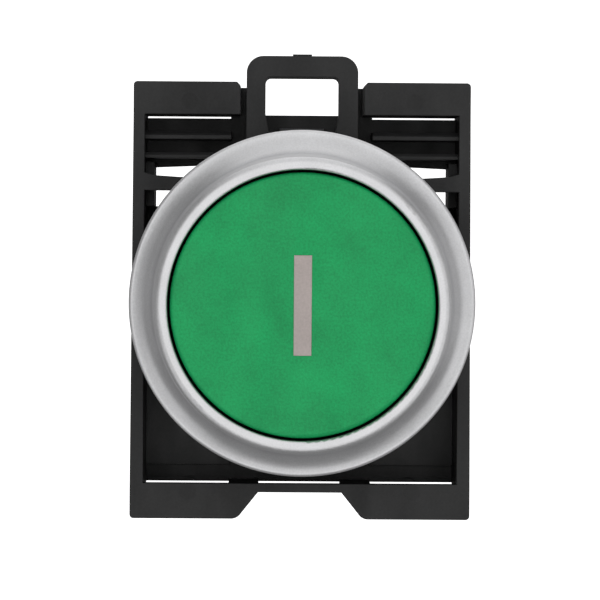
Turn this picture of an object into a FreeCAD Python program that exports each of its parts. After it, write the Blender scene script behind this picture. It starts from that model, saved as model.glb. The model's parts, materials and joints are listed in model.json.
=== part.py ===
import FreeCAD, Part
import os
import Sketcher

# Push button for a 22.5 mm panel hole, with its mounting adapter and one contact block.
# Millimetres. X right, Y into the panel, Z up. The button axis is the Y axis and Y = 0 is the
# front face of the panel, which is the rear face of the gasket.

os.makedirs("parts", exist_ok=True)
doc = FreeCAD.newDocument("push_button")
sheet = doc.addObject("Spreadsheet::Sheet", "Sizes")


class Size:
    """A number together with the sheet expression that it comes from."""

    def __init__(self, value, text):
        self.value = value
        self.text = text

    def __add__(self, other):
        other = as_size(other)
        return Size(self.value + other.value, "(%s + %s)" % (self.text, other.text))

    def __radd__(self, other):
        return as_size(other) + self

    def __sub__(self, other):
        other = as_size(other)
        return Size(self.value - other.value, "(%s - %s)" % (self.text, other.text))

    def __rsub__(self, other):
        return as_size(other) - self

    def __mul__(self, other):
        other = as_size(other)
        return Size(self.value * other.value, "(%s * %s)" % (self.text, other.text))

    def __rmul__(self, other):
        return as_size(other) * self

    def __truediv__(self, other):
        other = as_size(other)
        return Size(self.value / other.value, "(%s / %s)" % (self.text, other.text))

    def __neg__(self):
        return Size(-self.value, "(0 - %s)" % self.text)


def as_size(number):
    """Plain numbers take part in expressions as they stand."""
    if isinstance(number, Size):
        return number
    return Size(float(number), repr(float(number)))


row_count = 0


def size(name, value, meaning):
    """Write one driving size into the sheet and hand it back for use in expressions."""
    global row_count
    row_count += 1
    sheet.set("A%d" % row_count, name)
    sheet.set("B%d" % row_count, str(value))
    sheet.setAlias("B%d" % row_count, name)
    sheet.set("C%d" % row_count, meaning)
    return Size(float(value), "Sizes.%s" % name)


# ---------------------------------------------------------------- driving sizes

hole_r = size("hole_r", 11.25, "radius of the standard panel hole")
hole_gap = size("hole_gap", 0.15, "radial gap between the sleeve and the hole")
panel_t = size("panel_t", 3.0, "panel thickness that the drawing is set for")
fit_gap = size("fit_gap", 0.05, "radial play of a running or push fit")
slide_gap = size("slide_gap", 0.1, "play of flat sliding faces")

cap_step = size("cap_step", 0.11, "hole radius less cap radius")
cap_gap = size("cap_gap", 0.22, "gap all round the cap")
cap_depth = size("cap_depth", 2.2, "front to back of the cap")
cap_skin = size("cap_skin", 1.2, "thickness of the cap's face")
cap_wall = size("cap_wall", 1.4, "thickness of the cap's rim")
cap_drop = size("cap_drop", 0.4, "cap face behind the lip of the ring")
cap_round = size("cap_round", 0.35, "edge radius of the cap")
mark_w = size("mark_w", 1.5, "width of the bar on the cap")
mark_len = size("mark_len", 8.4, "length of the bar on the cap")
mark_t = size("mark_t", 0.3, "depth of the bar's pocket")
travel = size("travel", 4.0, "stroke of the button")

collar_wall = size("collar_wall", 0.5, "wall of the collar round the cap")
collar_base = size("collar_base", 2.0, "panel face to the floor of the collar")
collar_spare = size("collar_spare", 0.4, "room left under the pressed cap")
lip_w = size("lip_w", 1.08, "width of the lip")
lip_t = size("lip_t", 0.55, "thickness of the lip")
flank_w = size("flank_w", 0.45, "spread of the steep flank")
rim_w = size("rim_w", 1.96, "width of the hollow rim")
rim_fall = size("rim_fall", 0.3, "fall of the rim towards its outer edge")
rim_skin = size("rim_skin", 0.15, "skin in front of the flange")
rim_lift = size("rim_lift", 0.3, "panel face to the rear of the ring")
rim_wall = size("rim_wall", 1.2, "wall of the ring's skirt")
flange_t = size("flange_t", 1.6, "thickness of the housing flange")
gasket_t = size("gasket_t", 1.0, "thickness of the gasket")
key_w = size("key_w", 3.0, "width of the anti-turn key")
key_rise = size("key_rise", 1.0, "height of the anti-turn key above the sleeve")

sleeve_wall = size("sleeve_wall", 1.9, "wall of the sleeve")
thread_pitch = size("thread_pitch", 1.25, "pitch of the thread")
thread_depth = size("thread_depth", 0.6, "depth of the thread")
nut_wall = size("nut_wall", 2.4, "radial thickness of the nut")
nut_notch = size("nut_notch", 1.3, "depth of the notches for the spanner")
spring_room = size("spring_room", 14.4, "length of the return spring at rest")
spring_wire = size("spring_wire", 0.8, "wire of the return spring")
spring_side = size("spring_side", 0.4, "gap between the return spring and the sleeve")
guide_wall = size("guide_wall", 0.75, "wall of the guide tube")
guide_len = size("guide_len", 5.0, "guide tube in front of the spring floor")
guide_space = size("guide_space", 0.4, "gap between the return spring and the guide tube")
floor_t = size("floor_t", 1.5, "thickness of the spring floor")
stem_wall = size("stem_wall", 1.6, "wall of the carrier's stem")
seal_wire = size("seal_wire", 0.84, "thickness of the stem seal")
foot_t = size("foot_t", 1.2, "thickness of the pressure plate")
bar_len = size("bar_len", 2.5, "depth of the bar on the pressure plate")
bar_h = size("bar_h", 4.4, "height of the bar on the pressure plate")
foot_spare = size("foot_spare", 0.8, "pressed bar to the contact block")

adapter_gap = size("adapter_gap", 1.7, "nut to the adapter")
hub_wall = size("hub_wall", 2.15, "wall of the adapter's hub")
hub_front = size("hub_front", 3.1, "thickness of the hub in front of the slide")
side_room = size("side_room", 1.6, "hub to the outer face of a side rail")
rail_t = size("rail_t", 1.0, "thickness of the side rails")
low_flare = size("low_flare", 0.17, "extra thickness of the side rails at the foot")
adapter_depth = size("adapter_depth", 20.0, "front to back of the side rails")
beam_depth = size("beam_depth", 8.0, "front to back of the upper and lower beams")
block_drop = size("block_drop", 1.2, "top of the hub down to the ribbed blocks")
block_h = size("block_h", 4.1, "height of the ribbed blocks")
slit_h = size("slit_h", 0.2, "slit under the upper beams")
beam_h = size("beam_h", 2.9, "height of the upper beams")
web_below = size("web_below", 3.45, "hub down to the lower edge of the web")
low_slit = size("low_slit", 0.15, "slit between the web and the lower beam")
low_slope = size("low_slope", 0.6, "fall of the lower beam's upper face")
low_beam_h = size("low_beam_h", 3.15, "height of the lower beam")
web_t = size("web_t", 1.2, "thickness of the web behind the hub")
web_drop = size("web_drop", 5.1, "top of the hub down to the upper edge of the web")
rib_h = size("rib_h", 0.7, "height of the upper ribs")
block_fall = size("block_fall", 0.4, "fall of the blocks' lower face towards the rails")
divider_t = size("divider_t", 1.4, "thickness of the walls beside the slide")
divider_drop = size("divider_drop", 6.0, "front of the adapter to the walls beside the slide")
field_depth = size("field_depth", 0.25, "depth of the sunk fields in flat walls")
rail_edge = size("rail_edge", 2.2, "border round the sunk fields of the rails")
latch_w = size("latch_w", 2.4, "width of the latch windows in the rails")
latch_len = size("latch_len", 3.6, "length of the latch windows in the rails")
spoke_h = size("spoke_h", 1.2, "height of the spokes")
post_w = size("post_w", 0.77, "width of the posts between the spokes and the ribbed blocks")
post_drop = size("post_drop", 3.0, "front of the adapter to the posts")

lock_t = size("lock_t", 1.2, "thickness of the lock slide")
lock_lift = size("lock_lift", 1.2, "stroke of the lock slide")
lock_play = size("lock_play", 0.25, "sleeve to the raised slide's hole")
lock_wall = size("lock_wall", 1.25, "slide beside its hole")
tab_w = size("tab_w", 9.92, "width of the tab")
tab_rise = size("tab_rise", 2.3, "tab above the upper beams")
tab_bar = size("tab_bar", 1.85, "top bar of the tab")
tab_arm = size("tab_arm", 1.68, "side bars of the tab")
tab_proud = size("tab_proud", 0.2, "tab in front of the beams")
beam_gap = size("beam_gap", 0.56, "tab to the ends of the upper beams")
window_round = size("window_round", 0.5, "corner radius of the tab's window")
lock_spring_x = size("lock_spring_x", 7.6, "lock springs from the middle")
tab_round = size("tab_round", 1.5, "corner radius of the tab")
lock_wire = size("lock_wire", 0.2, "wire of the lock springs")

block_gap = size("block_gap", 0.2, "adapter web to the contact block")
block_side = size("block_side", 0.25, "contact block inside its bay, each side")
block_inset = size("block_inset", 1.05, "contact block inside the web, top and bottom")
block_wall = size("block_wall", 1.0, "wall of the contact block")
block_corner = size("block_corner", 1.1, "bevel of the contact block's rear ends")
block_edge = size("block_edge", 2.0, "border round the sunk fields of the contact block")
vent_w = size("vent_w", 0.6, "width of the contact block's vents")
plunger_w = size("plunger_w", 4.4, "width of the contact plunger")
plunger_h = size("plunger_h", 5.0, "height of the contact plunger")
plunger_wall = size("plunger_wall", 1.2, "walls across the plunger")
contact_gap = size("contact_gap", 2.4, "opening of the contacts")
bridge_t = size("bridge_t", 0.8, "thickness of the contact bridge")
bridge_len = size("bridge_len", 14.8, "length of the contact bridge")
bridge_w = size("bridge_w", 2.8, "width of the contact bridge")
bridge_room = size("bridge_room", 4.2, "length of the bridge spring at rest")
tip_t = size("tip_t", 0.6, "thickness of a contact tip")
tip_r = size("tip_r", 1.0, "radius of a contact tip")
strip_t = size("strip_t", 0.8, "thickness of the fixed contacts")
wire_gap = size("wire_gap", 1.7, "open clamp, strip to plate")
clamp_t = size("clamp_t", 1.0, "thickness of a clamp plate")
screw_r = size("screw_r", 1.4, "radius of a terminal screw")
screw_head_r = size("screw_head_r", 2.1, "radius of a terminal screw head")
screw_head_t = size("screw_head_t", 1.7, "thickness of a terminal screw head")
screw_space = size("screw_space", 2.7, "screw head to the rear face of the block")
chamber_gap = size("chamber_gap", 0.8, "wall to the parts of a terminal")
coil_wire = size("coil_wire", 0.35, "wire of the springs in the contact block")

# ---------------------------------------------------------------- shared levels

cap_r = hole_r - cap_step
lip_bore = cap_r + cap_gap
collar_r = lip_bore + collar_wall
ring_bore = collar_r + fit_gap
lip_r = lip_bore + lip_w
ring_r = lip_r + rim_w + flank_w
skirt_r = ring_r - rim_wall
flange_r = skirt_r - fit_gap
ring_front = -(collar_base + collar_spare + travel + cap_depth + cap_drop)
cap_front = ring_front + cap_drop
cap_back = cap_front + cap_depth

sleeve_r = hole_r - hole_gap
sleeve_bore = sleeve_r - sleeve_wall
spring_r = sleeve_bore - spring_side - spring_wire / 2
guide_r = spring_r - spring_wire / 2 - guide_space
stem_bore = guide_r - guide_wall
stem_r = stem_bore - fit_gap
stem_in = stem_r - stem_wall
spring_floor = cap_back + spring_room
foot_front = spring_floor + floor_t + slide_gap
bar_back = foot_front + foot_t + bar_len

seal_y = spring_floor - guide_len + 1.2
key_back = seal_y - seal_wire / 2 - 0.63

nut_threads = 3
sleeve_threads = 6
nut_len = thread_pitch * nut_threads + 0.25
adapter_front = panel_t + nut_len + adapter_gap
slot_front = adapter_front + hub_front
lock_front = slot_front + slide_gap
lock_back = lock_front + lock_t
slot_back = lock_back + slide_gap
groove_front = lock_front - slide_gap * 1.5
groove_back = lock_back + slide_gap * 1.5
lock_hole_r = sleeve_r + lock_play
groove_r = lock_hole_r - lock_lift - slide_gap * 2
sleeve_back = groove_back + 1.7

block_front = bar_back + travel + foot_spare
web_back = block_front - block_gap
web_front = web_back - web_t
hub_r = hole_r + hub_wall
half_w = hub_r + side_room
rail_in = half_w - rail_t
block_low = hub_r - block_drop
block_top = block_low + block_h
beam_low = block_top + slit_h
adapter_top = beam_low + beam_h
web_low = -(hub_r + web_below)
low_beam_top = web_low - low_slit + low_slope
adapter_low = low_beam_top - low_beam_h
web_top = hub_r - web_drop
beam_back = adapter_front + beam_depth
divider_in = tab_w / 2 + fit_gap
divider_out = divider_in + divider_t
spoke_low = hub_r - web_drop + 1.4

rib_low = block_low + 0.4
rib_high = block_low + 2.1
rib_front = adapter_front + 1.2
ribbed_wall = beam_back - 2.0
wall_front = lock_back + 1.1
divider_front = adapter_front + divider_drop
beam_in = tab_w / 2 + beam_gap
shoulder = lock_hole_r - 1.55
tab_low = hub_r + 0.4
tab_top = adapter_top + tab_rise
tab_front = adapter_front - tab_proud

block_half = half_w / 3 - block_side
block_z = hub_r + web_below - block_inset
cavity_half = block_half - block_wall
cavity_front = block_front + block_wall
plunger_tip = bar_back + fit_gap
slot_low = cavity_front + fit_gap + plunger_wall * 2
bridge_front = slot_low + bridge_room
bridge_back = bridge_front + bridge_t
slot_high = bridge_back + slide_gap
tip_front = bridge_back + tip_t + contact_gap + fit_gap
strip_front = tip_front + tip_t
strip_back = strip_front + strip_t
tip_z = bridge_len / 2 - tip_r * 1.2
bore_floor = slot_high + plunger_wall
plunger_back = bore_floor + 2.6
clamp_front = strip_back + wire_gap
clamp_back = clamp_front + clamp_t
head_front = clamp_back + fit_gap
head_back = head_front + screw_head_t
block_back = head_back + screw_space
cavity_back = block_back - block_wall
chamber_z = bridge_len / 2 + 0.2
clamp_low = chamber_z + chamber_gap
clamp_high = block_z - block_wall - chamber_gap
clamp_w = clamp_high - clamp_low
screw_z = (clamp_low + clamp_high) / 2
coil_r = plunger_w * 0.27
hook_low = hub_r + 0.7
hook_t = 0.8

# ---------------------------------------------------------------- drawing helpers

def bind(item, path, number):
    """Tie a property to the sheet if the number comes from it."""
    if isinstance(number, Size):
        item.setExpression(path, number.text)


def plane_of(body, role):
    for feature in body.Origin.OriginFeatures:
        if feature.Role == role:
            return feature


def body_named(name):
    body = doc.addObject("PartDesign::Body", name)
    body.Label = name
    return body


def pin_point(sketch, geometry, end, x, y):
    for kind, number in (("DistanceX", x), ("DistanceY", y)):
        number = as_size(number)
        index = sketch.addConstraint(Sketcher.Constraint(kind, geometry, end, number.value))
        sketch.setExpression("Constraints[%d]" % index, number.text)


def add_polygon(sketch, points):
    first = sketch.GeometryCount
    count = len(points)
    flat = [FreeCAD.Vector(as_size(x).value, as_size(y).value, 0) for x, y in points]
    for i in range(count):
        sketch.addGeometry(Part.LineSegment(flat[i], flat[(i + 1) % count]), False)
    for i in range(count):
        after = first + (i + 1) % count
        sketch.addConstraint(Sketcher.Constraint("Coincident", first + i, 2, after, 1))
    for i in range(count):
        pin_point(sketch, first + i, 1, points[i][0], points[i][1])


def add_circle(sketch, x, y, radius):
    radius = as_size(radius)
    centre = FreeCAD.Vector(as_size(x).value, as_size(y).value, 0)
    shape = Part.Circle(centre, FreeCAD.Vector(0, 0, 1), radius.value)
    index = sketch.addGeometry(shape, False)
    pin_point(sketch, index, 3, x, y)
    held = sketch.addConstraint(Sketcher.Constraint("Radius", index, radius.value))
    sketch.setExpression("Constraints[%d]" % held, radius.text)


def rect(x0, y0, x1, y1):
    return [(x0, y0), (x1, y0), (x1, y1), (x0, y1)]


def disc(x, y, radius):
    return ("disc", x, y, radius)


def sketch_on(body, role, offset, loops):
    """Sketch on an origin plane: XY uses (x, y), XZ uses (x, z) and YZ uses (y, z)."""
    sketch = body.newObject("Sketcher::SketchObject", body.Name + "_outline")
    sketch.AttachmentSupport = [(plane_of(body, role), "")]
    sketch.MapMode = "FlatFace"
    sign = -1 if role == "XZ_Plane" else 1
    offset = as_size(offset) * sign
    sketch.setExpression(".AttachmentOffset.Base.z", offset.text)
    for loop in loops:
        if loop[0] == "disc":
            add_circle(sketch, loop[1], loop[2], loop[3])
        else:
            add_polygon(sketch, loop)
    return sketch


def pad(body, role, start, end, loops):
    """Add material from one level to a higher one, along the plane's own axis."""
    sketch = sketch_on(body, role, start, loops)
    feature = body.newObject("PartDesign::Pad", body.Name + "_pad")
    feature.Profile = sketch
    feature.Reversed = role == "XZ_Plane"
    feature.setExpression("Length", (as_size(end) - start).text)
    return feature


def cut(body, role, start, end, loops):
    """Remove material from one level to a higher one, along the plane's own axis."""
    sketch = sketch_on(body, role, start, loops)
    feature = body.newObject("PartDesign::Pocket", body.Name + "_cut")
    feature.Profile = sketch
    feature.Reversed = role != "XZ_Plane"
    feature.setExpression("Length", (as_size(end) - start).text)
    return feature


def turn(body, loops):
    """Revolve (radius, y) outlines round the button axis."""
    sketch = sketch_on(body, "XY_Plane", 0, loops)
    feature = body.newObject("PartDesign::Revolution", body.Name + "_turn")
    feature.Profile = sketch
    feature.ReferenceAxis = (sketch, ["V_Axis"])
    feature.Angle = 360
    return feature


def groove(body, loops):
    """Turn (radius, y) outlines out of the body."""
    sketch = sketch_on(body, "XY_Plane", 0, loops)
    feature = body.newObject("PartDesign::Groove", body.Name + "_groove")
    feature.Profile = sketch
    feature.ReferenceAxis = (sketch, ["V_Axis"])
    feature.Angle = 360
    return feature


def near(a, b):
    return abs(a - as_size(b).value) < 1e-4


def edges_where(shape, test):
    return ["Edge%d" % (i + 1) for i, edge in enumerate(shape.Edges) if test(edge)]


def round_edges(body, base, radius, test, kind="PartDesign::Fillet", path="Radius"):
    """Fillet or chamfer the edges of a finished feature that pass a test on their place."""
    doc.recompute()
    feature = body.newObject(kind, body.Name + "_edges")
    feature.Base = (base, edges_where(base.Shape, test))
    bind(feature, path, as_size(radius))
    return feature


def ring_edge(radius, y):
    """Test for the round edge of a turned piece at a radius and level."""
    def test(edge):
        box = edge.BoundBox
        flat = near(box.YMin, y) and near(box.YMax, y)
        return flat and near(box.XMax, radius) and near(box.XMin, -as_size(radius))
    return test


def upright_edge(*places):
    """Test for straight edges along Y that pass through one of the given (x, z) places."""
    def test(edge):
        box = edge.BoundBox
        if box.YLength < 0.2 or box.XLength > 1e-4 or box.ZLength > 1e-4:
            return False
        return any(near(box.XMin, x) and near(box.ZMin, z) for x, z in places)
    return test


def around(body, feature, count):
    """Repeat a feature round the button axis."""
    pattern = body.newObject("PartDesign::PolarPattern", body.Name + "_around")
    pattern.Originals = [feature]
    pattern.Axis = (plane_of(body, "Y_Axis"), [""])
    pattern.Angle = 360
    pattern.Occurrences = count
    body.Tip = pattern
    return pattern


def coil(name, role, start, end, mean_r, wire, turns):
    """Helical spring between two seats, along Y (XY plane) or along Z (XZ plane)."""
    body = body_named(name)
    seat = 0.02
    sketch = sketch_on(body, role, 0, [disc(mean_r, start + wire / 2 + seat, wire / 2)])
    feature = body.newObject("PartDesign::AdditiveHelix", name + "_helix")
    feature.Profile = sketch
    feature.ReferenceAxis = (sketch, ["V_Axis"])
    feature.Mode = 1
    height = end - start - wire - 2 * seat
    feature.setExpression("Height", height.text)
    feature.Turns = turns
    feature.setExpression("Pitch", (height / turns).text)
    return body


# ---------------------------------------------------------------- front of the panel

def make_bezel_ring():
    body = body_named("bezel_ring")
    step_y = -(gasket_t + flange_t) - slide_gap
    foot_y = step_y - rim_skin
    shape = turn(body, [[
        (lip_bore, ring_front),
        (lip_r, ring_front),
        (lip_r + flank_w, foot_y),
        (ring_r, foot_y + rim_fall),
        (ring_r, -rim_lift),
        (skirt_r, -rim_lift),
        (skirt_r, step_y),
        (ring_bore, step_y),
        (ring_bore, ring_front + lip_t),
        (lip_bore, ring_front + lip_t),
    ]])
    shape = round_edges(body, shape, rim_w * 1.05, ring_edge(lip_r + flank_w, foot_y))
    shape = round_edges(body, shape, rim_w / 8, ring_edge(ring_r, foot_y + rim_fall))
    shape = round_edges(body, shape, lip_w / 2, ring_edge(lip_r, ring_front))
    round_edges(body, shape, lip_w / 6, ring_edge(lip_bore, ring_front))


def make_button_cap():
    body = body_named("button_cap")
    inside = cap_r - cap_wall
    shape = turn(body, [[
        (0, cap_front),
        (cap_r, cap_front),
        (cap_r, cap_back),
        (inside, cap_back),
        (inside, cap_front + cap_skin),
        (0, cap_front + cap_skin),
    ]])
    round_edges(body, shape, cap_round, ring_edge(cap_r, cap_front))
    cut(body, "XZ_Plane", cap_front, cap_front + mark_t,
        [rect(-mark_w / 2, -mark_len / 2, mark_w / 2, mark_len / 2)])


def make_cap_mark():
    body = body_named("cap_mark")
    pad(body, "XZ_Plane", cap_front - 0.02, cap_front + mark_t,
        [rect(-mark_w / 2, -mark_len / 2, mark_w / 2, mark_len / 2)])


def make_button_carrier():
    body = body_named("button_carrier")
    seat = cap_front + cap_skin
    disc_r = cap_r - cap_wall - fit_gap
    seal_floor = stem_r - seal_wire - 0.01
    seal_half = seal_wire / 2 + 0.03
    turn(body, [[
        (0, seat),
        (disc_r, seat),
        (disc_r, cap_back),
        (stem_r, cap_back),
        (stem_r, seal_y - seal_half),
        (seal_floor, seal_y - seal_half),
        (seal_floor, seal_y + seal_half),
        (stem_r, seal_y + seal_half),
        (stem_r, foot_front),
        (stem_in, foot_front),
        (stem_in, cap_back + 0.4),
        (0, cap_back + 0.4),
    ]])
    for side in (-1, 1):
        edges = sorted((side * (stem_r - 0.3), side * (guide_r - 0.15)), key=lambda s: s.value)
        pad(body, "XZ_Plane", cap_back, key_back,
            [rect(edges[0], -slide_gap * 5, edges[1], slide_gap * 5)])


def make_stem_seal():
    seal = doc.addObject("Part::Torus", "stem_seal")
    seal.Label = "stem_seal"
    seal.setExpression("Radius1", (stem_r - seal_wire / 2).text)
    seal.setExpression("Radius2", (seal_wire / 2).text)
    seal.Placement = FreeCAD.Placement(
        FreeCAD.Vector(0, 0, 0), FreeCAD.Rotation(FreeCAD.Vector(1, 0, 0), 90))
    seal.setExpression(".Placement.Base.y", seal_y.text)


def make_press_plate():
    body = body_named("press_plate")
    plate_r = sleeve_bore - spring_side
    plug_r = stem_in - fit_gap
    bar_half = plate_r - 0.4
    turn(body, [[
        (0, foot_front - 3.0),
        (plug_r - 0.3, foot_front - 3.0),
        (plug_r, foot_front - 2.7),
        (plug_r, foot_front),
        (plate_r, foot_front),
        (plate_r, foot_front + foot_t),
        (0, foot_front + foot_t),
    ]])
    bar = pad(body, "XZ_Plane", foot_front + foot_t, bar_back,
              [rect(-bar_half, -bar_h / 2, bar_half, bar_h / 2)])
    corners = [(x, z) for x in (-bar_half, bar_half) for z in (-bar_h / 2, bar_h / 2)]
    round_edges(body, bar, bar_h / 6, upright_edge(*corners))


def thread_loops(count, first, tip_r, base_r):
    """Triangles of a ring thread, counted from the rear of the panel, points inward."""
    loops = []
    half = thread_pitch / 2 - 0.04
    for i in range(count):
        y = panel_t + thread_pitch * (first + i) + thread_pitch / 2
        loops.append([(base_r, y - half), (tip_r, y), (base_r, y + half)])
    return loops


def make_button_housing():
    body = body_named("button_housing")
    top_y = ring_front + lip_t + slide_gap
    flange_front = -(gasket_t + flange_t)
    turn(body, [[
        (lip_bore, top_y),
        (collar_r, top_y),
        (collar_r, flange_front),
        (flange_r, flange_front),
        (flange_r, -gasket_t),
        (sleeve_r, -gasket_t),
        (sleeve_r, sleeve_back),
        (sleeve_bore, sleeve_back),
        (sleeve_bore, spring_floor + floor_t),
        (stem_bore, spring_floor + floor_t),
        (stem_bore, spring_floor - guide_len),
        (guide_r, spring_floor - guide_len),
        (guide_r, spring_floor),
        (sleeve_bore, spring_floor),
        (sleeve_bore, -collar_base),
        (lip_bore, -collar_base),
    ]])
    groove(body, thread_loops(sleeve_threads, -2, sleeve_r - thread_depth, sleeve_r + 0.05))
    groove(body, [rect(groove_r, groove_front, sleeve_r + 1, groove_back)])
    pad(body, "XZ_Plane", -gasket_t, -slide_gap * 2 + panel_t / 3,
        [rect(-key_w / 2, sleeve_r - thread_depth * 2, key_w / 2, sleeve_r + key_rise)])
    way = guide_r + 0.2
    cut(body, "XZ_Plane", spring_floor - guide_len, key_back + travel + 0.3,
        [rect(-way, -slide_gap * 6.5, way, slide_gap * 6.5)])


def make_panel_gasket():
    body = body_named("panel_gasket")
    inner = sleeve_r + slide_gap
    turn(body, [rect(inner, -gasket_t, flange_r, 0)])
    notch = key_w / 2 + 0.15
    cut(body, "XZ_Plane", -gasket_t, 0,
        [rect(-notch, inner - 0.5, notch, sleeve_r + key_rise + 0.15)])


def make_ring_nut():
    body = body_named("ring_nut")
    nut_r = sleeve_r + nut_wall
    inner = sleeve_r + slide_gap
    back = panel_t + nut_len
    turn(body, [rect(inner, panel_t, nut_r, back)])
    crests = thread_loops(nut_threads, 0, sleeve_r - thread_depth + 0.12, inner + 0.05)
    sketch = sketch_on(body, "XY_Plane", 0, crests)
    thread = body.newObject("PartDesign::Revolution", "nut_thread")
    thread.Profile = sketch
    thread.ReferenceAxis = (sketch, ["V_Axis"])
    thread.Angle = 360
    notch = cut(body, "XZ_Plane", panel_t + nut_len / 2, back,
                [rect(-1.4, nut_r - nut_notch, 1.4, nut_r + 1)])
    around(body, notch, 8)


# ---------------------------------------------------------------- behind the panel

def two_sides(x0, y0, x1, y1):
    """A rectangle on the right and its mirror image on the left."""
    return [rect(x0, y0, x1, y1), rect(-x1, y0, -x0, y1)]


def mirrored(points):
    return [points, [(-x, y) for x, y in points]]


def rib_outline(low, high):
    """Side view of a rib with its upper front edge bevelled."""
    bevel = (high - low) / 2
    return [
        (rib_front, low),
        (ribbed_wall + 0.1, low),
        (ribbed_wall + 0.1, high),
        (rib_front + bevel, high),
        (rib_front, high - bevel),
    ]


def fields(low, high, count, border):
    """Split a length into equal sunk fields with bars between them."""
    step = (high - low - border) / count
    return [(low + border + step * i, low + step * (i + 1)) for i in range(count)]


def cut_rail_windows(body, rail_back):
    """Sunk fields in the outer faces of the side rails, with latch windows in the middle one."""
    front = beam_back + rail_edge
    for low, high in fields(web_low, block_top, 3, rail_edge):
        for x0, x1 in ((half_w - field_depth, half_w + 1), (-half_w - 1, field_depth - half_w)):
            cut(body, "YZ_Plane", x0, x1, [rect(front, low, rail_back - rail_edge, high)])
    middle = (front + rail_back - rail_edge) / 2
    windows = [rect(middle - latch_len / 2, z - latch_w / 2, middle + latch_len / 2, z + latch_w / 2)
               for z in (-latch_w * 1.2, latch_w * 1.2)]
    cut(body, "YZ_Plane", rail_in - 0.5, half_w + 0.5, windows)
    cut(body, "YZ_Plane", -half_w - 0.5, 0.5 - rail_in, windows)


def make_adapter_frame():
    body = body_named("adapter_frame")
    rail_back = adapter_front + adapter_depth
    face = "XZ_Plane"
    pad(body, face, web_front, web_back, [rect(-half_w, web_low, half_w, web_top)])
    pad(body, face, slot_back, web_front + 0.1, [disc(0, 0, hub_r)])
    foot_w = half_w + low_flare
    pad(body, face, adapter_front, rail_back, mirrored([
        (rail_in, web_low), (foot_w, web_low), (half_w, block_top), (rail_in, block_top)]))

    bevel = 0.3
    beam = [
        (half_w, block_low), (rail_in, block_low), (rail_in, beam_low), (beam_in, beam_low),
        (beam_in, adapter_top - bevel), (beam_in + bevel, adapter_top), (half_w, adapter_top),
    ]
    pad(body, face, adapter_front, beam_back, mirrored(beam))

    notch_in = beam_in - 1.8
    notch_out = beam_in + 0.1
    notch_top = low_beam_top - 0.77
    pad(body, face, adapter_front, beam_back, [[
        (-foot_w, web_low), (-rail_in, web_low), (-rail_in, low_beam_top),
        (rail_in, low_beam_top), (rail_in, web_low), (foot_w, web_low),
        (foot_w, adapter_low), (notch_out, adapter_low), (notch_in, notch_top),
        (-notch_in, notch_top), (-notch_out, adapter_low), (-foot_w, adapter_low),
    ]])
    cut(body, "YZ_Plane", -rail_in, rail_in, [[
        (adapter_front + 1.0, low_beam_top), (beam_back, low_beam_top - low_slope),
        (beam_back, low_beam_top + 0.1), (adapter_front + 1.0, low_beam_top + 0.1),
    ]])
    pad(body, face, adapter_front + 2.5, web_back,
        two_sides(notch_in, low_beam_top - low_slope - 0.1, divider_out, web_low + 0.2))
    pad(body, face, web_front - 0.6, web_front + 0.1,
        two_sides(divider_out, web_low + 1.55, rail_in + 0.1, web_top))

    pad(body, face, ribbed_wall, beam_back, mirrored([
        (divider_in, block_low), (rail_in + 0.1, block_low - block_fall),
        (rail_in + 0.1, block_top), (divider_in, block_top)]))
    pad(body, face, divider_front, beam_back,
        two_sides(divider_in, block_low, divider_out, adapter_top - bevel))
    pad(body, face, wall_front, beam_back,
        [rect(-divider_in - 0.1, block_low, divider_in + 0.1, block_top + bevel)])
    for low, high in ((rib_low, rib_low + rib_h * 0.75), (rib_high, rib_high + rib_h)):
        pad(body, "YZ_Plane", divider_out - 0.1, rail_in + 0.1, [rib_outline(low, high)])
        pad(body, "YZ_Plane", -rail_in - 0.1, -divider_out + 0.1, [rib_outline(low, high)])

    pad(body, face, adapter_front + post_drop, beam_back,
        two_sides(rail_in - post_w, web_top, rail_in + 0.1, block_low + 0.1))

    spoke_top = spoke_low + spoke_h
    pad(body, face, adapter_front, slot_front, [[
        (-rail_in - 0.1, spoke_low), (rail_in + 0.1, spoke_low),
        (rail_in + 0.1, spoke_top + 0.4), (rail_in - 0.8, spoke_top + 0.15),
        (rail_in - 3.2, spoke_top), (3.2 - rail_in, spoke_top),
        (0.8 - rail_in, spoke_top + 0.15), (-rail_in - 0.1, spoke_top + 0.4),
    ]])
    pad(body, face, adapter_front, slot_front, [disc(0, 0, hub_r)])
    link_in = lock_hole_r + lock_wall + fit_gap * 3
    pad(body, face, slot_front - 0.5, slot_back + 0.5, two_sides(link_in, -4, hub_r - 0.05, 4))
    cut(body, face, adapter_front - 1, web_back + 1, [disc(0, 0, hole_r)])

    cut_rail_windows(body, rail_back)

    window_low = hook_low - 0.2
    window_high = hook_low + hook_t + 0.2
    cut(body, face, wall_front - 0.5, beam_back + 0.5, [rect(-2.2, window_low, 2.2, window_high)])
    shape = cut(body, face, web_front - 0.5, web_back + 0.5,
                [rect(-2.2, -window_high, 2.2, -window_low)])
    corners = [(-half_w, adapter_top), (half_w, adapter_top),
               (-foot_w, adapter_low), (foot_w, adapter_low)]
    shape = round_edges(body, shape, rail_t * 0.35, upright_edge(*corners))
    corners = [(-notch_out, adapter_low), (notch_out, adapter_low)]
    round_edges(body, shape, rail_t, upright_edge(*corners))


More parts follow.
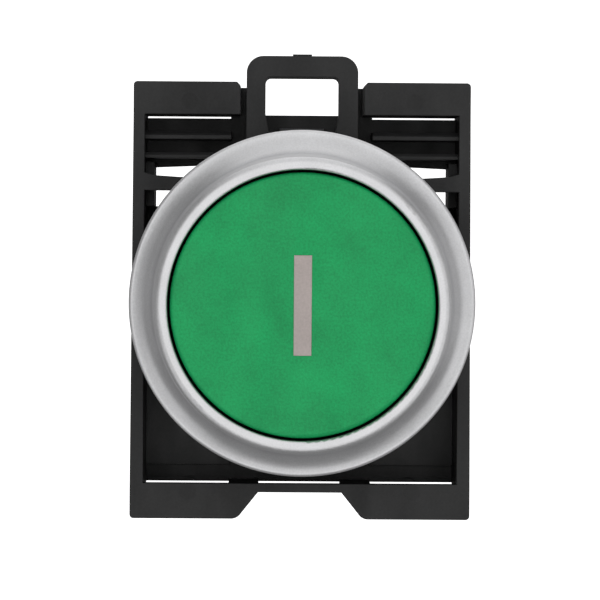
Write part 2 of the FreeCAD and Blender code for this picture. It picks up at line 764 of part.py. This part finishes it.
def make_lock_slide():
    body = body_named("lock_slide")
    face = "XZ_Plane"
    side = lock_hole_r + lock_wall
    half_tab = tab_w / 2
    plate = [
        (half_tab, shoulder), (side - 3.6, shoulder), (side, shoulder - 2.0),
        (side, -side / 2), (side - 2.1, 1.6 - side + lock_wall), (side / 2, -side - 1.0),
    ]
    left = [(-x, z) for x, z in reversed(plate)]
    outline = [(half_tab, tab_low)] + plate + left + [(-half_tab, tab_low)]
    pad(body, face, lock_front, lock_back, [outline])
    tab = pad(body, face, tab_front, lock_back, [rect(-half_tab, tab_low, half_tab, tab_top)])
    corners = [(-half_tab, tab_top), (half_tab, tab_top)]
    round_edges(body, tab, tab_round, upright_edge(*corners))
    window_half = half_tab - tab_arm
    window_top = tab_top - tab_bar
    window = cut(body, face, tab_front, lock_back, [[
        (window_half, window_top), (-window_half, window_top),
        (-window_half, block_top + 0.3), (0.4 - window_half, tab_low + 0.6),
        (window_half - 0.4, tab_low + 0.6), (window_half, block_top + 0.3),
    ]])
    corners = [(-window_half, window_top), (window_half, window_top)]
    round_edges(body, window, window_round, upright_edge(*corners))
    pad(body, face, tab_front + 1, lock_back - 1, [rect(-0.85, tab_top - 0.2, 0.85, tab_top + 0.2)])
    cut(body, face, lock_front, lock_back, [disc(0, -lock_lift, lock_hole_r)])


def make_lock_springs():
    for side, sign in (("left", -1), ("right", 1)):
        spring = coil("lock_spring_" + side, "XZ_Plane", shoulder, rib_low, lock_wire * 2.2,
                      lock_wire, 6)
        spring.setExpression(".Placement.Base.x", (lock_spring_x * sign).text)
        spring.setExpression(".Placement.Base.y", ((lock_front + lock_back) / 2).text)


# ---------------------------------------------------------------- contact block

ENDS = (("top", 1), ("bottom", -1))


def end_rect(sign, x_half, z0, z1):
    """A rectangle centred on x = 0, at the top end or its mirror image at the bottom."""
    if sign > 0:
        return rect(-x_half, z0, x_half, z1)
    return rect(-x_half, -z1, x_half, -z0)


def peg_places():
    """The four (y, z) places where the cover's pegs go into the housing."""
    far = block_z - block_wall - 1.0
    near_z = bridge_len / 2 - 1.6
    rows = ((cavity_front + 1.0, far), (cavity_back - 1.0, near_z))
    return [(y, z) for y, reach in rows for z in (reach, -reach)]


def block_outline():
    """Side view of the contact block, with bevelled rear ends."""
    return [
        (block_front, -block_z), (block_back - block_corner, -block_z),
        (block_back, block_corner - block_z), (block_back, block_z - block_corner),
        (block_back - block_corner, block_z), (block_front, block_z),
    ]


def cut_block_side(body, outer, inner, past):
    """Sunk fields and vents in one side wall, from its outer face to inside its inner face."""
    front = block_front + block_edge
    back = block_back - block_edge
    sunk = outer - field_depth if outer.value > 0 else outer + field_depth
    low_x, high_x = sorted((sunk, past), key=lambda s: s.value)
    for low, high in fields(-block_z, block_z, 3, block_edge):
        cut(body, "YZ_Plane", low_x, high_x, [rect(front, low, back, high)])
    low_x, high_x = sorted((inner, past), key=lambda s: s.value)
    middle = (front + back) / 2
    vents = [rect(middle + vent_w * (2 * i - 0.5), -2, middle + vent_w * (2 * i + 0.5), 2)
             for i in (-1, 0, 1)]
    cut(body, "YZ_Plane", low_x, high_x, vents)


def make_contact_housing():
    body = body_named("contact_housing")
    face = "XZ_Plane"
    end = block_z - block_wall
    pad(body, "YZ_Plane", -block_half, cavity_half, [block_outline()])
    cut(body, "YZ_Plane", -cavity_half, cavity_half + 1,
        [rect(cavity_front, -end, cavity_back, end)])
    for y, z in peg_places():
        pad(body, "YZ_Plane", -block_half, cavity_half, [rect(y - 1.05, z - 1.05, y + 1.05, z + 1.05)])
    pad(body, face, cavity_back - 1.5, cavity_back + 0.1, [disc(0, 0, coil_r * 0.75)])
    wall_high = chamber_z + chamber_gap - 0.1
    for _, sign in ENDS:
        pad(body, face, strip_back, cavity_back + 0.1,
            [end_rect(sign, cavity_half, chamber_z, wall_high)])
        pad(body, face, cavity_front - 0.1, strip_front,
            [end_rect(sign, cavity_half, chamber_z, wall_high)])
        nose_y = wall_front - 0.8 if sign > 0 else web_front - 0.8
        grip_y = wall_front - 0.1 if sign > 0 else web_front - 0.1
        pad(body, face, nose_y, block_front + 0.1,
            [end_rect(sign, 2.0, hook_low, hook_low + hook_t)])
        pad(body, face, nose_y, grip_y,
            [end_rect(sign, 2.0, hook_low + hook_t - 0.1, hook_low + hook_t + 0.5)])
        cut(body, face, cavity_back - 0.1, block_back + 0.1,
            [disc(0, screw_z * sign, screw_head_r + 0.3)])
        low = end - 0.1 if sign > 0 else -block_z - 0.1
        high = block_z + 0.1 if sign > 0 else 0.1 - end
        cut(body, "XY_Plane", low, high, [rect(-2.3, strip_back, 2.3, clamp_front)])
        low = block_z - 0.4 if sign > 0 else -block_z - 0.1
        high = block_z + 0.1 if sign > 0 else 0.4 - block_z
        cut(body, "XY_Plane", low, high, [rect(-2.8, strip_back - 0.5, 2.8, clamp_front + 0.5)])
    for y, z in peg_places():
        cut(body, "YZ_Plane", cavity_half - 3, cavity_half + 0.1, [disc(y, z, 0.6)])
    half_x = plunger_w / 2 + slide_gap
    half_z = plunger_h / 2 + slide_gap
    cut(body, face, block_front - 0.1, cavity_front + 0.1,
        [rect(-half_x, -half_z, half_x, half_z)])
    label_z = screw_z - screw_head_r - block_edge
    cut(body, face, block_back - field_depth, block_back + 0.1,
        [rect(block_edge / 2 - block_half, -label_z, cavity_half - block_edge / 2, label_z)])
    cut_block_side(body, -block_half, -cavity_half + 0.5, -block_half - 1)


def make_contact_cover():
    body = body_named("contact_cover")
    pad(body, "YZ_Plane", cavity_half, block_half, [block_outline()])
    pegs = [disc(y, z, 0.6 - fit_gap) for y, z in peg_places()]
    pad(body, "YZ_Plane", cavity_half - 2.5, cavity_half + 0.1, pegs)
    cut_block_side(body, block_half, cavity_half - 0.5, block_half + 1)


def make_contact_plunger():
    body = body_named("contact_plunger")
    face = "XZ_Plane"
    half_x = plunger_w / 2
    half_z = plunger_h / 2
    head_y = cavity_front + fit_gap
    pad(body, face, plunger_tip, plunger_back, [rect(-half_x, -half_z, half_x, half_z)])
    pad(body, face, head_y, head_y + plunger_wall,
        [rect(-half_x - 0.6, -half_z - 0.6, half_x + 0.6, half_z + 0.6)])
    window = bridge_w / 2 + slide_gap
    cut(body, face, slot_low, slot_high, [rect(-window, -half_z - 1, window, half_z + 1)])
    shape = cut(body, face, bore_floor, plunger_back, [disc(0, 0, coil_r + coil_wire)])

    def tip_edge(edge):
        return near(edge.BoundBox.YMax, plunger_tip)
    round_edges(body, shape, 0.4, tip_edge)


def make_contact_bridge():
    body = body_named("contact_bridge")
    reach = bridge_len / 2
    shape = pad(body, "XZ_Plane", bridge_front, bridge_back,
                [rect(-bridge_w / 2, -reach, bridge_w / 2, reach)])
    corners = [(x, z) for x in (-bridge_w / 2, bridge_w / 2) for z in (-reach, reach)]
    round_edges(body, shape, bridge_w / 4, upright_edge(*corners))


def make_contact_tips():
    for name, sign in ENDS:
        for stem, start in (("bridge_tip_", bridge_back), ("fixed_tip_", tip_front)):
            body = body_named(stem + name)
            pad(body, "XZ_Plane", start, start + tip_t, [disc(0, tip_z * sign, tip_r)])


def make_terminals():
    for name, sign in ENDS:
        strip = body_named("fixed_contact_" + name)
        inner = tip_z - tip_r * 1.2
        outer = clamp_high + chamber_gap / 2
        pad(strip, "XZ_Plane", strip_front, strip_back, [end_rect(sign, clamp_w / 2, inner, outer)])
        cut(strip, "XZ_Plane", strip_front, strip_back,
            [disc(0, screw_z * sign, screw_r + fit_gap)])
        plate = body_named("clamp_plate_" + name)
        pad(plate, "XZ_Plane", clamp_front, clamp_back,
            [end_rect(sign, clamp_w / 2, clamp_low, clamp_high)])
        cut(plate, "XZ_Plane", clamp_front, clamp_back,
            [disc(0, screw_z * sign, screw_r + fit_gap)])
        make_terminal_screw("terminal_screw_" + name, sign)


def make_terminal_screw(name, sign):
    body = body_named(name)
    body.setExpression(".Placement.Base.z", (screw_z * sign).text)
    shape = turn(body, [[
        (0, strip_front - 1.2),
        (screw_r - 0.3, strip_front - 1.2),
        (screw_r, strip_front - 0.9),
        (screw_r, head_front),
        (screw_head_r, head_front),
        (screw_head_r, head_back),
        (0, head_back),
    ]])
    round_edges(body, shape, 0.25, ring_edge(screw_head_r, head_back))
    reach = screw_head_r * 0.75
    for half_x, half_z in ((0.28, reach), (reach, 0.28)):
        cut(body, "XZ_Plane", head_back - 0.9, head_back, [rect(-half_x, -half_z, half_x, half_z)])


MAKERS = (
    make_bezel_ring, make_button_cap, make_cap_mark, make_button_carrier, make_stem_seal,
    make_press_plate, make_button_housing, make_panel_gasket, make_ring_nut,
    make_adapter_frame, make_lock_slide, make_lock_springs,
    make_contact_housing, make_contact_cover, make_contact_plunger, make_contact_bridge,
    make_contact_tips, make_terminals,
)
for make in MAKERS:
    make()
coil("return_spring", "XY_Plane", cap_back, spring_floor, spring_r, spring_wire, 6)
coil("plunger_spring", "XY_Plane", bore_floor, cavity_back, coil_r, coil_wire, 7)
coil("bridge_spring", "XY_Plane", slot_low, bridge_front, coil_r * 0.8, coil_wire * 0.8, 5)

doc.recompute()

for item in doc.Objects:
    if "Invalid" in item.State or "Error" in item.State:
        raise RuntimeError("%s failed: %s" % (item.Label, item.State))

pieces = [item for item in doc.Objects
          if item.TypeId == "PartDesign::Body" or item.TypeId == "Part::Torus"]
for item in pieces:
    shape = item.Shape
    if shape.isNull() or not shape.isValid():
        raise RuntimeError("%s has no valid shape" % item.Label)
    print(item.Label, len(shape.Solids), round(shape.Volume, 1))
    shape.exportStep("parts/%s.step" % item.Label)
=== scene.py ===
import json
import math

import bpy
from mathutils import Matrix, Vector


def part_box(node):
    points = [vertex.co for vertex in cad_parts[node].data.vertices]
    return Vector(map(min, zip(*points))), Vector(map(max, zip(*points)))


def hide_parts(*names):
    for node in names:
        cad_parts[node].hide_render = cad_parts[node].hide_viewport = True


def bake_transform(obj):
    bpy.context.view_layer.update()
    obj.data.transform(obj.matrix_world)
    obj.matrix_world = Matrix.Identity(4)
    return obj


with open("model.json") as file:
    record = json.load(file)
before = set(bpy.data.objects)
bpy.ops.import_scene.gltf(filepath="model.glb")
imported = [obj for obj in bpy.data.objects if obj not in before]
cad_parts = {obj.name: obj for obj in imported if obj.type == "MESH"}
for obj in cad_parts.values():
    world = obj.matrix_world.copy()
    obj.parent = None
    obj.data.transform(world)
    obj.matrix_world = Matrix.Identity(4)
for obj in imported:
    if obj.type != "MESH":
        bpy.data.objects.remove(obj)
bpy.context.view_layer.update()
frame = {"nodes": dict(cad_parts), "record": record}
nodes = frame["nodes"]

MM = 0.001
COLLECTION = bpy.context.scene.collection

# ---------------------------------------------------------------- material helpers

# Sizes and depths of surface detail in millimetres, and factors on the colour.
CLOUD_SIZE = 4.0
FLOW_SIZE = 2.5
SINK_SIZE, SINK_DEPTH = 6.0, 0.05
MARK_RADIUS, MARK_DEPTH, MARK_SHADE = 0.8, 0.02, 0.8
MARK_CORE = 0.8
PLATING_CLOUD_SIZE = 3.0
LINE_SIZE, LINE_DEPTH = 0.08, 0.002
TARNISH_SIZE = 1.2
BLOOM_SIZE = 1.5
RUBBER_GRAIN, RUBBER_RELIEF, RUBBER_EDGE = 0.1, 0.006, 0.1

# How far the rounded normal agrees with the face: fully on an edge, and off it.
EDGE_MATCH, FACE_MATCH = 0.75, 0.98


class Tree:
    """A material's nodes, with short calls to add and join them. Sizes are in millimetres."""

    def __init__(self, name):
        self.material = bpy.data.materials.new(name)
        self.material.use_nodes = True
        self.nodes = self.material.node_tree.nodes
        self.links = self.material.node_tree.links
        self.shader = self.nodes["Principled BSDF"]
        self.place = self.add("ShaderNodeTexCoord").outputs["Object"]

    def add(self, kind, **values):
        """Add a node; each value goes to the input of that name, or else to the property."""
        node = self.nodes.new(kind)
        for key, value in values.items():
            if key in node.inputs:
                node.inputs[key].default_value = value
            else:
                setattr(node, key, value)
        return node

    def join(self, source, target):
        """Join an output to an input."""
        self.links.new(source, target)

    def feed(self, **sources):
        """Join outputs to the shader: colour, rough and normal."""
        names = {"colour": "Base Color", "rough": "Roughness", "normal": "Normal"}
        for key, source in sources.items():
            self.join(source, self.shader.inputs[names[key]])

    def noise(self, size, detail=2.0, roughness=0.5, stretch=(1, 1, 1)):
        """Noise whose features are about this size, longer along an axis that is stretched."""
        node = self.add("ShaderNodeTexNoise", Scale=1.0, Detail=detail, Roughness=roughness)
        mapping = self.add("ShaderNodeMapping")
        mapping.inputs["Scale"].default_value = [1.0 / (size * MM * part) for part in stretch]
        self.join(self.place, mapping.inputs["Vector"])
        self.join(mapping.outputs["Vector"], node.inputs["Vector"])
        return node.outputs["Fac"]

    def spread(self, value, low, high, start=0.3, end=0.7):
        """Map start..end of a value to low..high."""
        node = self.add("ShaderNodeMapRange")
        node.inputs["From Min"].default_value = start
        node.inputs["From Max"].default_value = end
        node.inputs["To Min"].default_value = low
        node.inputs["To Max"].default_value = high
        self.join(value, node.inputs["Value"])
        return node.outputs["Result"]

    def colours(self, value, dark, light, start=0.3, end=0.7):
        """Map start..end of a value to a colour between two."""
        node = self.add("ShaderNodeValToRGB")
        for stop, position, colour in zip(node.color_ramp.elements, (start, end), (dark, light)):
            stop.position = position
            stop.color = (*colour, 1)
        self.join(value, node.inputs["Fac"])
        return node.outputs["Color"]

    def shaded(self, colour, value, low, high, start=0.3, end=0.7):
        """Make a colour darker or lighter by a factor that follows a value."""
        node = self.add("ShaderNodeVectorMath", operation="SCALE")
        self.join(colour, node.inputs[0])
        self.join(self.spread(value, low, high, start, end), node.inputs["Scale"])
        return node.outputs["Vector"]

    def bump(self, value, height, under=None):
        """Relief of this height, on top of another normal if one is given."""
        node = self.add("ShaderNodeBump", Distance=height * MM, Strength=1.0)
        self.join(value, node.inputs["Height"])
        if under:
            self.join(under, node.inputs["Normal"])
        return node.outputs["Normal"]

    def soft_edges(self, radius):
        """Normal with the edges rounded over, and how far each point lies on such an edge."""
        bevel = self.add("ShaderNodeBevel", samples=4, Radius=radius * MM).outputs["Normal"]
        facing = self.add("ShaderNodeNewGeometry").outputs["True Normal"]
        match = self.add("ShaderNodeVectorMath", operation="DOT_PRODUCT")
        self.join(bevel, match.inputs[0])
        self.join(facing, match.inputs[1])
        return bevel, self.spread(match.outputs["Value"], 1.0, 0.0, EDGE_MATCH, FACE_MATCH)

    def spots(self, places, radius):
        """One inside round spots at the given (x, z) places, fading to nothing outside."""
        found = None
        for x, z in places:
            away = self.add("ShaderNodeVectorMath", operation="SUBTRACT")
            away.inputs[1].default_value = (x, 0, z)
            self.join(self.place, away.inputs[0])
            flat = self.add("ShaderNodeVectorMath", operation="MULTIPLY")
            flat.inputs[1].default_value = (1, 0, 1)
            self.join(away.outputs["Vector"], flat.inputs[0])
            length = self.add("ShaderNodeVectorMath", operation="LENGTH")
            self.join(flat.outputs["Vector"], length.inputs[0])
            spot = self.spread(length.outputs["Value"], 1, 0,
                               radius * MM * MARK_CORE, radius * MM)
            if found:
                both = self.add("ShaderNodeMath", operation="MAXIMUM")
                self.join(found, both.inputs[0])
                self.join(spot, both.inputs[1])
                spot = both.outputs["Value"]
            found = spot
        return found


def scaled(colour, factor):
    """A colour made darker or lighter."""
    return tuple(min(1.0, part * factor) for part in colour)


def moulded(name, colour, grain=0.12, relief=0.006, rough=(0.45, 0.6), shade=0.12, edge=0.12,
            worn_and_highlit=1.25, shine=0.5, marks=None):
    """Moulded plastic: cloudy colour, fine grain, flow marks, sinks, and edges painted lighter,
    partly as rubbed wear and partly as a painted edge highlight.
    """
    tree = Tree(name)
    tree.shader.inputs["Specular IOR Level"].default_value = shine
    normal, on_edge = tree.soft_edges(edge)
    cloud = tree.noise(CLOUD_SIZE, detail=4.0, roughness=0.6)
    speck = tree.noise(grain * 1.5, detail=2.0)
    shown = tree.colours(cloud, scaled(colour, 1 - shade), scaled(colour, 1 + shade))
    shown = tree.shaded(shown, speck, 1 - shade, 1 + shade)
    # Edges painted lighter in colour: partly rubbed wear, partly a painted highlight along the
    # edges.
    shown = tree.shaded(shown, on_edge, 1.0, worn_and_highlit, start=0.0, end=1.0)
    flow = tree.noise(FLOW_SIZE, detail=3.0, stretch=(1, 1, 3))
    normal = tree.bump(tree.noise(SINK_SIZE, detail=1.0), SINK_DEPTH, normal)
    if marks:
        spot = tree.spots(marks, MARK_RADIUS)
        shown = tree.shaded(shown, spot, 1.0, MARK_SHADE, start=0.0, end=1.0)
        normal = tree.bump(spot, -MARK_DEPTH, normal)
    grained = tree.bump(tree.noise(grain, detail=3.0, roughness=0.6), relief, normal)
    tree.feed(colour=shown, rough=tree.spread(flow, *rough), normal=grained)
    return tree.material


def satin_metal(name, colour, rough=(0.3, 0.38), grain=0.15, relief=0.0025, edge=0.05):
    """Bead-blasted and plated metal."""
    tree = Tree(name)
    tree.shader.inputs["Metallic"].default_value = 1.0
    normal, on_edge = tree.soft_edges(edge)
    cloud = tree.noise(PLATING_CLOUD_SIZE, detail=4.0)
    blast = tree.noise(grain, detail=2.0)
    shown = tree.colours(cloud, scaled(colour, 0.96), scaled(colour, 1.04))
    shown = tree.shaded(shown, blast, 0.94, 1.06)
    # Edges painted a little lighter: partly rubbed plating, partly a painted highlight along the
    # edges.
    shown = tree.shaded(shown, on_edge, 1.0, 1.08, start=0.0, end=1.0)
    tree.feed(colour=shown, rough=tree.spread(blast, *rough),
              normal=tree.bump(blast, relief, normal))
    return tree.material


def drawn_metal(name, colour, rough=(0.25, 0.4), along=(1, 6, 1), edge=0.04):
    """Drawn wire or rolled strip, with fine lines one way and dull patches."""
    tree = Tree(name)
    tree.shader.inputs["Metallic"].default_value = 1.0
    normal, _ = tree.soft_edges(edge)
    lines = tree.noise(LINE_SIZE, detail=3.0, stretch=along)
    tarnish = tree.noise(TARNISH_SIZE, detail=4.0)
    shown = tree.colours(lines, scaled(colour, 0.85), scaled(colour, 1.05))
    shown = tree.shaded(shown, tarnish, 0.85, 1.05)
    tree.feed(colour=shown, rough=tree.spread(lines, *rough),
              normal=tree.bump(lines, LINE_DEPTH, normal))
    return tree.material


def rubber(name, colour):
    """Rubber with a dull bloom and a fine matt grain."""
    tree = Tree(name)
    normal, _ = tree.soft_edges(RUBBER_EDGE)
    bloom = tree.noise(BLOOM_SIZE, detail=5.0, roughness=0.65)
    tree.feed(colour=tree.colours(bloom, scaled(colour, 0.8), scaled(colour, 1.5)),
              rough=tree.spread(bloom, 0.6, 0.8),
              normal=tree.bump(tree.noise(RUBBER_GRAIN, detail=3.0), RUBBER_RELIEF, normal))
    return tree.material


# ---------------------------------------------------------------- materials on the CAD nodes

BAY_PITCH = 10 * MM
UPPER_MARK = 1.8 * MM
LOWER_MARK = 2.4 * MM
frame_low, frame_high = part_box("adapter_frame")
ejector_marks = [(side * BAY_PITCH, level) for side in (-1, 1)
                 for level in (frame_high[2] - UPPER_MARK, frame_low[2] + LOWER_MARK)]

by_slot = {
    "satin_metal": satin_metal("silver_ring", (0.62, 0.62, 0.63), rough=(0.38, 0.46)),
    "green_plastic": moulded("green_cap", (0.0055, 0.35, 0.103), grain=0.13, relief=0.012,
                             rough=(0.5, 0.6), shade=0.13, worn_and_highlit=1.1, shine=0.3),
    "pale_ink": moulded("pale_mark", (0.45, 0.39, 0.37), grain=0.1, relief=0.004, shade=0.06,
                        worn_and_highlit=1.0),
    "black_plastic": moulded("black_housing", (0.012, 0.012, 0.013)),
    "adapter_plastic": moulded("adapter_grey", (0.015, 0.015, 0.0153), grain=0.14,
                               rough=(0.42, 0.58), shine=0.32, marks=ejector_marks),
    "block_plastic": moulded("block_grey", (0.07, 0.072, 0.075), grain=0.16, relief=0.008),
    "plunger_plastic": moulded("plunger_green", (0.015, 0.2, 0.07)),
    "seal_rubber": rubber("seal_rubber", (0.012, 0.012, 0.012)),
    "spring_steel": drawn_metal("spring_wire", (0.55, 0.55, 0.54)),
    "contact_brass": drawn_metal("contact_brass", (0.66, 0.45, 0.18), along=(1, 1, 8)),
    "tip_silver": satin_metal("silver_tip", (0.8, 0.79, 0.76)),
    "plated_steel": satin_metal("zinc_plate", (0.58, 0.58, 0.55), rough=(0.28, 0.45)),
}
for part in frame["record"]["subparts"]:
    for place in nodes[part["node"]].material_slots:
        place.material = by_slot[part["material_slot"]]

# ---------------------------------------------------------------- copies of the springs in place of the CAD springs

ALONG_Y, ALONG_Z = 1, 2
# The bridge takes 0.6 of the plunger's stroke. A blend's weight is 0.4 at this share of its way.
BRIDGE_SHARE = 0.433


def giving_spring(node, way, share=1.0):
    """A copy of a CAD spring, put in place of its hidden CAD node; it does not move with any body.

    The share is not used: it only sets an end point that nothing reads.
    """
    piece = bpy.data.objects.new(node + "_coil", nodes[node].data.copy())
    COLLECTION.objects.link(piece)
    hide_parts(node)
    low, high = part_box(node)
    start = [(a + b) / 2 for a, b in zip(low, high)]
    end = list(start)
    start[way] = low[way]
    end[way] = low[way] + (high[way] - low[way]) / share
    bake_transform(piece)


giving_spring("return_spring", ALONG_Y)
giving_spring("plunger_spring", ALONG_Y)
giving_spring("bridge_spring", ALONG_Y, BRIDGE_SHARE)
for side in ("left", "right"):
    giving_spring("lock_spring_" + side, ALONG_Z)

# ---------------------------------------------------------------- studio, light and camera

PAPER = (0.9, 0.9, 0.9)
PALE_PAPER = (0.92, 0.92, 0.92)
FIBRE_SIZE = 40.0


def studio_paper():
    """Pale studio paper, lit evenly by its own glow so that it stays clear of shadows."""
    tree = Tree("studio_paper")
    tree.shader.inputs["Roughness"].default_value = 0.9
    tree.shader.inputs["Emission Color"].default_value = (1, 1, 1, 1)
    tree.shader.inputs["Emission Strength"].default_value = 1.0
    tree.feed(colour=tree.colours(tree.noise(FIBRE_SIZE), PAPER, PALE_PAPER))
    return tree.material


def round_studio(name, radius, floor_z, top_z, bend, sides=64, steps=10):
    """A floor that curves up into a wall all round. Only the camera sees it: it lights nothing."""
    line = [(radius * 0.1, floor_z)]
    for step in range(steps + 1):
        angle = math.pi / 2 * step / steps
        line.append((radius - bend + bend * math.sin(angle),
                     floor_z + bend - bend * math.cos(angle)))
    line.append((radius, top_z))
    points = []
    for reach, height in line:
        for side in range(sides):
            turn = 2 * math.pi * side / sides
            points.append((reach * math.cos(turn), reach * math.sin(turn), height))
    faces = [tuple(range(sides))]
    for row in range(len(line) - 1):
        for side in range(sides):
            after = (side + 1) % sides
            low, high = row * sides, (row + 1) * sides
            faces.append((low + side, high + side, high + after, low + after))
    mesh = bpy.data.meshes.new(name)
    mesh.from_pydata(points, [], faces)
    for face in mesh.polygons:
        face.use_smooth = True
    mesh.materials.append(studio_paper())
    made = bpy.data.objects.new(name, mesh)
    made.visible_diffuse = False
    made.visible_glossy = False
    made.visible_shadow = False
    COLLECTION.objects.link(made)


def softbox(name, place, size, power):
    """A rectangular light in watts that faces the object."""
    data = bpy.data.lights.new(name, "AREA")
    data.shape = "RECTANGLE"
    data.size, data.size_y = size
    data.energy = power
    lamp = bpy.data.objects.new(name, data)
    lamp.location = place
    lamp.rotation_euler = (-Vector(place)).to_track_quat("-Z", "Y").to_euler()
    lamp.visible_camera = False
    COLLECTION.objects.link(lamp)


round_studio("studio", radius=0.9, floor_z=-0.14, top_z=1.2, bend=0.3)

world = bpy.data.worlds.new("studio_air")
bpy.context.scene.world = world
world.use_nodes = True
air = world.node_tree.nodes["Background"]
air.inputs["Color"].default_value = (1, 1, 1, 1)
air.inputs["Strength"].default_value = 0.26

for name, place, size, power in (
    ("top_box", (0.02, -0.20, 0.42), (0.6, 0.52), 0.72),
    ("left_box", (-0.42, -0.30, 0.02), (0.4, 0.5), 0.115),
    ("right_box", (0.42, -0.30, 0.02), (0.4, 0.5), 0.43),
    ("front_box", (0.0, -0.60, 0.05), (0.6, 0.6), 1.21),
    ("low_front_box", (0.0, -0.52, -0.34), (0.26, 0.26), 0.25),
    ("low_left_box", (-0.34, -0.30, -0.26), (0.3, 0.3), 0.2),
    ("low_right_box", (0.34, -0.30, -0.26), (0.3, 0.3), 0.15),
    ("back_top_box", (0.0, 0.25, 0.45), (0.6, 0.5), 0.75),
    ("back_left_box", (-0.45, 0.2, 0.05), (0.4, 0.5), 0.09),
    ("back_right_box", (0.45, 0.2, 0.05), (0.4, 0.5), 0.2),
):
    softbox(name, place, size, power)

AZIMUTH = math.radians(-0.5)
ELEVATION = math.radians(1.5)
ROLL = math.radians(0.4)
DISTANCE = 0.270
SENSOR_WIDTH = 36.0
FOCAL_LENGTH = 189.2
target = Vector((-0.18 * MM, -2.2 * MM, 0.30 * MM))
away = Vector((
    math.sin(AZIMUTH) * math.cos(ELEVATION),
    -math.cos(AZIMUTH) * math.cos(ELEVATION),
    math.sin(ELEVATION),
))
lens = bpy.data.cameras.new("camera")
lens.sensor_width = SENSOR_WIDTH
lens.lens = FOCAL_LENGTH
lens.clip_start = 0.01
camera = bpy.data.objects.new("camera", lens)
camera.location = target + away * DISTANCE
level = (-away).to_track_quat("-Z", "Y").to_matrix()
camera.rotation_euler = (level @ Matrix.Rotation(ROLL, 3, "Z")).to_euler()
COLLECTION.objects.link(camera)
bpy.context.scene.camera = camera
bpy.context.scene.view_settings.view_transform = "Standard"
